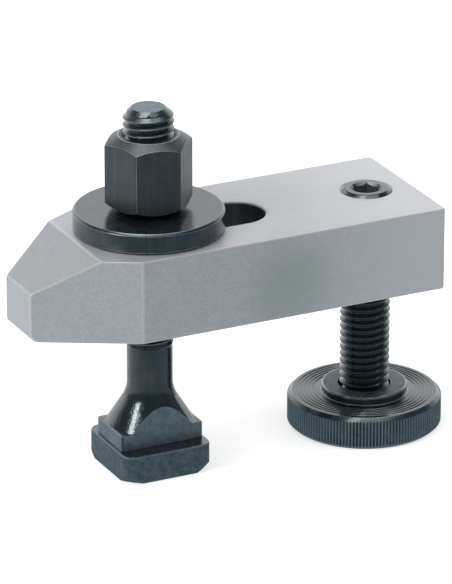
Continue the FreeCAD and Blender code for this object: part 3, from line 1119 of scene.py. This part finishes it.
@dataclass
class SupportFoot:
    """Turned foot with a knurled rim, grooves on its top and a collar round the screw."""

    finish: BlackOxide
    centre: Vector
    knurl_pitch: float = 0.8 * MM
    knurl_depth: float = 0.3 * MM
    bevel: float = 1.0 * MM
    softness: float = 0.12 * MM
    thickness: float = 8.0 * MM
    floor: float = 2.4 * MM
    collar: float = 10.2 * MM
    collar_root: float = 0.2 * MM
    collar_rounding: float = 0.5 * MM
    mouth: float = 6.25 * MM
    mouth_break: float = 0.15 * MM
    mouth_floor: float = 6.4 * MM
    bore: float = 4.15 * MM
    ring_seat: float = 4.7 * MM
    ring_low: float = 3.85 * MM
    ring_high: float = 4.95 * MM
    groove_count: int = 5
    groove_spacing: float = 0.95 * MM
    groove_outer: float = 16.0 * MM
    groove_width: float = 0.5 * MM
    groove_depth: float = 0.25 * MM
    groove_edge: float = 0.06 * MM
    groove_root: float = 0.08 * MM

    def outline(self, rim: float, top: float) -> list[tuple[float, ...]]:
        """Lists the foot's outline from the middle of its base round to the bore's floor."""
        soft, edge = self.softness, self.groove_edge
        corners = [
            (0, 0), (rim - self.bevel, 0, soft), (rim, self.bevel),
            (rim, self.thickness - self.bevel),
            (rim - self.bevel, self.thickness, soft),
        ]
        for groove in range(self.groove_count):
            at = self.groove_outer - groove * self.groove_spacing
            corners += [
                (at + self.groove_width / 2, self.thickness, edge),
                (at, self.thickness - self.groove_depth, self.groove_root),
                (at - self.groove_width / 2, self.thickness, edge),
            ]
        return corners + [
            (self.collar, self.thickness, self.collar_root),
            (self.collar, top, self.collar_rounding),
            (self.mouth, top, self.mouth_break), (self.mouth, self.mouth_floor),
            (self.bore, self.mouth_floor), (self.bore, self.ring_high),
            (self.ring_seat, self.ring_high), (self.ring_seat, self.ring_low),
            (self.bore, self.ring_low), (self.bore, self.floor),
            (0, self.floor),
        ]

    def lies_out(self, face: Face, radius: float) -> bool:
        """Tells whether the whole of a face lies at least as far out as a radius."""
        return min(reach(vert.co, self.centre) for vert in face.verts) > radius - HAIR

    def knurled(self, shape: Shape, rim: float, teeth: int) -> None:
        """Sinks every third column of the rim to make the knurl's grooves."""
        for vert in shape.verts:
            if reach(vert.co, self.centre) < rim - HAIR:
                continue
            turn = math.atan2(vert.co.y - self.centre.y, vert.co.x - self.centre.x)
            if round(turn / (2 * math.pi) * teeth * 3) % 3:
                continue
            draw_to(vert, self.centre, rim - self.knurl_depth)
            away = 1 if vert.co.z > self.thickness / 2 else -1
            vert.co.z += away * self.knurl_depth

    def build(self) -> bpy.types.Object:
        """Builds the foot."""
        low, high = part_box("support_foot")
        rim = (high.y - low.y) / 2
        teeth = 8 * round(2 * math.pi * rim / self.knurl_pitch / 8)
        shape = turned(self.outline(rim, high.z), self.centre, 3 * teeth)
        self.knurled(shape, rim, teeth)
        # The knurl's crests carry the mark: scuffed bright, and partly a painted highlight that
        # lifts the rim.
        marked(shape, lambda face: self.lies_out(face, rim))
        marked(shape, lambda face: self.lies_out(face, rim - self.knurl_depth), MATT)
        marked(shape, lambda face: face.calc_center_median().z > high.z - HAIR, MATT)
        return piece(shape, "foot", (self.finish,), "foot", "blackened_steel", "support_foot")


# Studio


@dataclass(frozen=True)
class Lamp:
    """A square softbox that is aimed at a point."""

    name: str
    place: tuple[float, float, float]
    aim: tuple[float, float, float]
    size: float
    power: float

    def build(self) -> None:
        """Hangs the softbox."""
        light = bpy.data.lights.new(self.name, "AREA")
        light.shape, light.size, light.energy = "SQUARE", self.size, self.power
        lamp = placed(self.name, light)
        lamp.location = self.place
        lamp.visible_camera = False
        toward = Vector(self.aim) - Vector(self.place)
        lamp.rotation_euler = toward.to_track_quat("-Z", "Y").to_euler()


def grey(level: float) -> Colour:
    """Gives a grey of a level."""
    return level, level, level


@dataclass(frozen=True)
class Studio:
    """White floor and surround, soft light and the camera of the photograph."""

    lamps: tuple[Lamp, ...]
    ambient: float = 0.60
    white: float = 1.0
    paint: float = 0.8
    ceiling: float = 1.8
    panel: float = 1.05
    overhead: float = 0.88
    overhead_softness: float = 0.06
    panel_direction: float = 70.0
    panel_start: float = 0.46
    panel_softness: float = 0.22
    panel_top: float = 0.50
    panel_top_softness: float = 0.10
    far_air: Colour = (0.45, 0.47, 0.48)
    dim_air: Colour = (0.10, 0.13, 0.15)
    pale_direction: float = 110.0
    pale_start: float = 0.02
    pale_softness: float = 0.06
    pale_floor: Colour = (0.70, 0.74, 0.78)
    dim_floor: Colour = (0.29, 0.36, 0.40)
    floor_size: float = 12.0
    floor_gap: float = 0.02 * MM
    floor_glow: float = 0.62
    camera_place: tuple[float, float, float] = (-0.504, -1.0689, 0.5203)
    camera_turn: float = -26.10
    camera_tilt: float = 22.01
    focal_pixels: float = 5543.0
    photo_height: float = 584.0
    sensor: float = 36.0
    clip: tuple[float, float] = (0.05, 50.0)

    def build_world(self) -> None:
        """Makes the surround: white to the camera, the room to gloss, an even level as light."""
        world = bpy.data.worlds.new("surround")
        world.use_nodes = True
        bpy.context.scene.world = world
        graph = Graph(world.node_tree)
        back = graph.tree.nodes["Background"]
        direction = graph.node("ShaderNodeTexCoord", {}, {}, "Generated")
        height = graph.along(direction, "Z")
        behind = graph.toward(
            direction, self.panel_direction, self.panel_start, self.panel_softness
        )
        room = graph.tint(behind, self.dim_air, self.far_air)
        panel = behind * (1.0 - height.above(self.panel_top, self.panel_top_softness))
        room = graph.tint(panel, room, grey(self.panel))
        above = height.above(self.overhead, self.overhead_softness)
        room = graph.tint(above, room, grey(self.ceiling))
        level = graph.tint(graph.mirrored(), grey(self.ambient), room)
        seen = graph.tint(graph.directly(), level, grey(self.white))
        graph.connect(back.inputs["Color"], seen)

    def build_floor(self) -> None:
        """Lays the pale floor, which glows only to the eye and to gloss, and keeps the shadow."""
        shape = bmesh.new()
        bmesh.ops.create_grid(
            shape, x_segments=1, y_segments=1, size=self.floor_size / 2,
            matrix=Matrix.Translation((0, 0, -self.floor_gap)),
        )
        floor = placed("floor", mesh_of(shape, "floor"))
        graph = Surface("floor_paint")
        side = graph.toward(
            graph.place(), self.pale_direction, self.pale_start, self.pale_softness
        )
        mirrored = graph.mirrored()
        room = graph.tint(side, self.dim_floor, self.pale_floor)
        level = graph.tint(mirrored, grey(0.0), room)
        floor.data.materials.append(graph.finish(
            Base_Color=graph.tint(mirrored, grey(self.paint), grey(0.0)), Roughness=1.0,
            Specular_IOR_Level=0.0, Emission_Strength=1.0,
            Emission_Color=graph.tint(graph.directly(), level, grey(self.floor_glow)),
        ))

    def build_camera(self) -> None:
        """Sets up the camera where the photograph was taken from."""
        turn, tilt = math.radians(self.camera_turn), math.radians(self.camera_tilt)
        ahead = Vector((
            -math.sin(turn) * math.cos(tilt), math.cos(turn) * math.cos(tilt), -math.sin(tilt),
        ))
        right = Vector((math.cos(turn), math.sin(turn), 0))
        pose = Matrix((right, right.cross(ahead), -ahead)).transposed().to_4x4()
        lens = bpy.data.cameras.new("camera")
        lens.sensor_width = self.sensor
        lens.lens = self.focal_pixels * self.sensor / self.photo_height
        lens.clip_start, lens.clip_end = self.clip
        camera = placed("camera", lens)
        camera.matrix_world = Matrix.Translation(self.camera_place) @ pose
        bpy.context.scene.camera = camera

    def build(self) -> None:
        """Builds the whole studio."""
        self.build_camera()
        self.build_world()
        self.build_floor()
        for lamp in self.lamps:
            lamp.build()
        bpy.context.scene.view_settings.view_transform = "Standard"


def dress(node: bpy.types.Object, finish: Finish) -> None:
    """Gives a piece of the frame that stays as it is a finish of its own."""
    for slot in node.material_slots:
        slot.material = finish.material()


def build_clamp(frame: Mapping[str, object]) -> None:
    """Builds the clamp's pieces in the loaded frame, in order, and reports each one."""
    bolt_axis = Vector((0, 0, 0))
    foot_low, foot_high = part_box("support_foot")
    foot_axis = Vector(((foot_low.x + foot_high.x) / 2, 0, 0))
    foot_centre = tuple(foot_axis)
    crest = 5.9 * MM
    bolt_thread = ScrewThread(bolt_axis, crest)
    screw_thread = ScrewThread(foot_axis, crest)
    builders = (
        ClampBar(
            PaleSteel("pale_satin_steel", 0.94), PaleSteel("ground_ramp", 0.74),
            PaleSteel("milled_flanks"),
            BareSteel(
                "milled_slot_wall", (0.20, 0.21, 0.225), (0.36, 0.375, 0.39), 0.6 * MM,
                0.05 * MM, 0.28, 0.2, (1, 1, 0.02), 3.0,
            ), screw_thread,
        ),
        TSlotBolt(
            BlackOxide("blackened_forging", Marks.FORGED, roughness=0.22, metallic=0.74),
            bolt_thread,
        ),
        Washer(BlackOxide(
            "blackened_washer", Marks.TURNED, roughness=0.30, oil=0.8, oil_roughness=0.18,
        )),
        DomedNut(
            # The nut's marked edges take a light colour: painted highlight lines, partly scuffed
            # steel.
            BlackOxide(
                "blackened_nut", Marks.ROLLED, dark=(0.038, 0.050, 0.056),
                light=(0.095, 0.108, 0.114), worn_and_highlight=(0.50, 0.54, 0.57), roughness=0.40, oil=0.5,
                oil_roughness=0.30, metallic=0.78,
            ), bolt_thread,
        ),
        SupportScrew(
            BlackOxide("blackened_screw", Marks.ROLLED, foot_centre, roughness=0.24),
            # Light grey socket: bare broached steel, and partly painted light inside the deep
            # socket.
            BlackOxide(
                "broached_socket_painted_light", Marks.ROLLED, foot_centre, dark=(0.20, 0.23, 0.24),
                light=(0.32, 0.35, 0.36), roughness=0.55, oil=0.0, metallic=1.0,
            ), screw_thread,
        ),
        SupportFoot(BlackOxide("blackened_foot", Marks.TURNED, foot_centre), foot_axis),
    )
    for builder in builders:
        made = builder.build()
        LOG.info("%s: %d faces", made.name, len(made.data.polygons))
    dress(frame["nodes"]["snap_ring"], BareSteel(
        "bright_spring_wire", (0.30, 0.31, 0.33), (0.42, 0.43, 0.45), 0.2 * MM, 0.004 * MM,
        0.25, 0.1,
    ))


def main() -> None:
    """Loads the frame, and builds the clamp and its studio."""
    logging.basicConfig(level=logging.INFO, format="%(message)s")
    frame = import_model()
    Studio(lamps=(
        Lamp("key", (-0.79, -0.15, 0.64), (0.0, 0.0, 0.05), 0.26, 2.6),
        Lamp("top", (-0.25, -0.05, 1.05), (0.02, 0.0, 0.05), 0.5, 2.6),
    )).build()
    build_clamp(frame)


if __name__ == "__main__":
    main()
